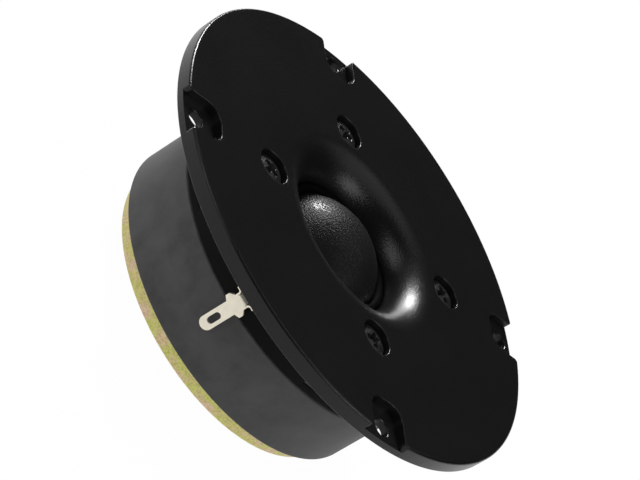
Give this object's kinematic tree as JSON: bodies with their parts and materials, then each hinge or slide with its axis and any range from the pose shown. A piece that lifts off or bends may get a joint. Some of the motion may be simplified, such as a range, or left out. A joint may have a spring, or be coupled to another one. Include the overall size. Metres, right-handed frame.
{
  "type": "dome tweeter",
  "caption": "Round flange-mounted soft-dome tweeter with a short waveguide, ring magnet, steel plates and solder tags.",
  "frame": {"origin": "centre of the flange's rear face, where it seats on the baffle", "axes": "+Z out of the front of the dome along its axis; the solder tags lie on -Y and +Y"},
  "size_m": [0.104, 0.104, 0.0351],
  "materials": {
    "faceplate_black": "fine matte moulding, black",
    "screw_black": "black passivated steel",
    "dome_cloth": "black coated fine cloth",
    "surround_cloth": "black coated fine cloth",
    "gasket_foam": "closed-cell foam",
    "former_foil": "bare foil",
    "winding_copper": "enamelled copper wire",
    "frame_black": "matte moulding, black",
    "pole_plate_zinc": "grey zinc on steel, dull",
    "ferrite": "fired ferrite, dull dark grey",
    "back_plate_zinc": "yellow zinc passivation",
    "pole_steel": "machined steel",
    "cap_copper": "bare copper",
    "pad_felt": "pale wool felt",
    "tag_tin": "tinned brass, satin",
    "lead_copper": "fine stranded copper",
    "solder": "bright solder"
  },
  "bodies": {
    "faceplate_and_motor": {"faceplate": "faceplate_black", "faceplate_screws": "screw_black", "surround": "surround_cloth", "surround_gasket": "gasket_foam", "diaphragm_frame": "frame_black", "front_pole_plate": "pole_plate_zinc", "ferrite_magnet": "ferrite", "back_plate": "back_plate_zinc", "pole_piece": "pole_steel", "copper_cap": "cap_copper", "damping_pad": "pad_felt", "solder_tag_minus": "tag_tin", "solder_tag_plus": "tag_tin", "lead_wire_minus": "lead_copper", "lead_wire_plus": "lead_copper", "solder_joint_minus": "solder", "solder_joint_plus": "solder"},
    "dome_and_coil": {"dome": "dome_cloth", "coil_former": "former_foil", "coil_winding": "winding_copper"}
  },
  "joints": [
    {"name": "dome_travel", "type": "slide", "parent": "faceplate_and_motor", "child": "dome_and_coil", "axis": [0, 0, 1], "range_m": [-0.0005, 0.0005], "stiffness_N_per_m": 12000, "deforming": ["surround", "lead_wire_minus", "lead_wire_plus"]}
  ]
}
